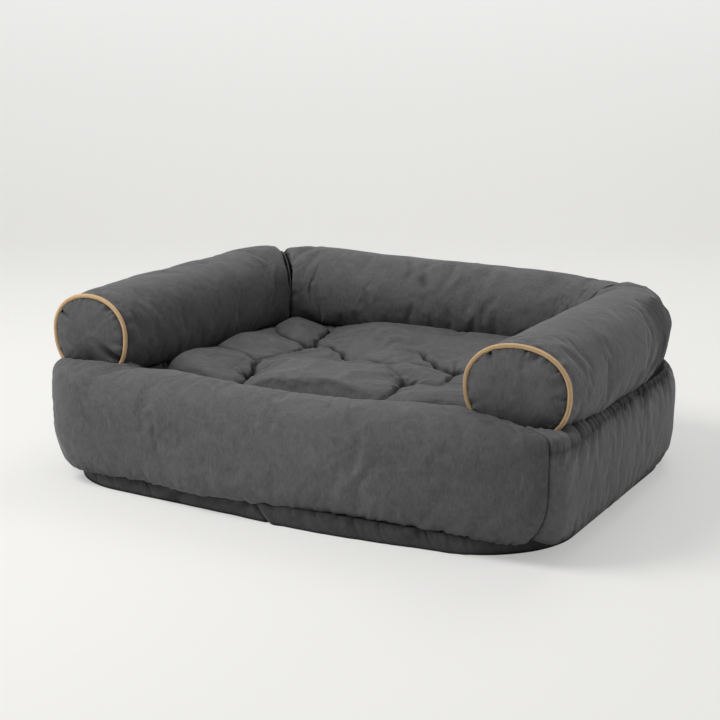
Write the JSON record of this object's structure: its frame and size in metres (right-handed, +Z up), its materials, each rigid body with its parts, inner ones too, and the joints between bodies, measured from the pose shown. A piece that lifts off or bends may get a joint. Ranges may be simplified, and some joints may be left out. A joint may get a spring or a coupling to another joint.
{
  "type": "dog sofa bed",
  "caption": "Low padded dog sofa with four puffed walls, two round arms and a round back, and a loose tufted cushion.",
  "frame": {"origin": "on the floor, in the middle of the bed's outline", "axes": "+Z up, the open front faces -Y, +X to the right as seen from the front"},
  "size_m": [0.9178, 0.738, 0.3022],
  "materials": {
    "suede": "dark charcoal faux suede, soft mottled nap",
    "seat_suede": "dark charcoal faux suede on the cushion's top",
    "piping": "camel cotton piping, twill weave",
    "base_cloth": "plain dark lining and non-slip base cloth",
    "filling": "white polyester fibre",
    "foam": "cream foam sheet",
    "felt": "grey felt",
    "thread": "dark twisted upholstery thread",
    "zip_tape": "woven black zip tape",
    "zip_teeth": "moulded black plastic",
    "zip_metal": "dark painted die-cast metal"
  },
  "bodies": {
    "base": {"bottom_panel": "base_cloth", "base_strip": "suede", "base_foam": "foam", "deck_panel": "base_cloth", "front_wall_cover": "suede", "right_wall_cover": "suede", "back_wall_cover": "suede", "left_wall_cover": "suede", "front_wall_filling": "filling", "right_wall_filling": "filling", "back_wall_filling": "filling", "left_wall_filling": "filling", "left_arm_sleeve": "suede", "right_arm_sleeve": "suede", "left_arm_cap": "suede", "right_arm_cap": "suede", "left_arm_piping": "piping", "right_arm_piping": "piping", "left_arm_filling": "filling", "right_arm_filling": "filling", "back_bolster_sleeve": "suede", "back_bolster_filling": "filling", "left_baffle": "base_cloth", "right_baffle": "base_cloth", "base_zip_tapes": "zip_tape", "base_zip_teeth": "zip_teeth", "base_zip_stops": "zip_metal"},
    "seat_cushion": {"seat_top_panel": "seat_suede", "seat_border_panel": "base_cloth", "seat_bottom_panel": "base_cloth", "seat_filling": "filling", "seat_tuft_ties": "thread", "seat_tuft_washers": "felt", "seat_zip_tapes": "zip_tape", "seat_zip_teeth": "zip_teeth", "seat_zip_stops": "zip_metal"},
    "base_zip_slider": {"base_zip_slider": "zip_metal"},
    "base_zip_pull": {"base_zip_pull": "zip_metal"},
    "seat_zip_slider": {"seat_zip_slider": "zip_metal"},
    "seat_zip_pull": {"seat_zip_pull": "zip_metal"}
  },
  "joints": [
    {"name": "seat_lift", "type": "slide", "parent": "base", "child": "seat_cushion", "axis": [0, 0, 1], "range_m": [0, 0.22]},
    {"name": "base_zip_travel", "type": "slide", "parent": "base", "child": "base_zip_slider", "axis": [1, 0, 0], "range_m": [0, 0.44]},
    {"name": "base_zip_pull_swing", "type": "hinge", "parent": "base_zip_slider", "child": "base_zip_pull", "pos_m": [-0.2213, 0.3566, 0.014], "axis": [0, 0, 1], "range_deg": [0, 170]},
    {"name": "seat_zip_travel", "type": "slide", "parent": "seat_cushion", "child": "seat_zip_slider", "axis": [1, 0, 0], "range_m": [0, 0.42]},
    {"name": "seat_zip_pull_swing", "type": "hinge", "parent": "seat_zip_slider", "child": "seat_zip_pull", "pos_m": [-0.2113, 0.1796, 0.0614], "axis": [0, 0, 1], "range_deg": [0, 170]}
  ]
}
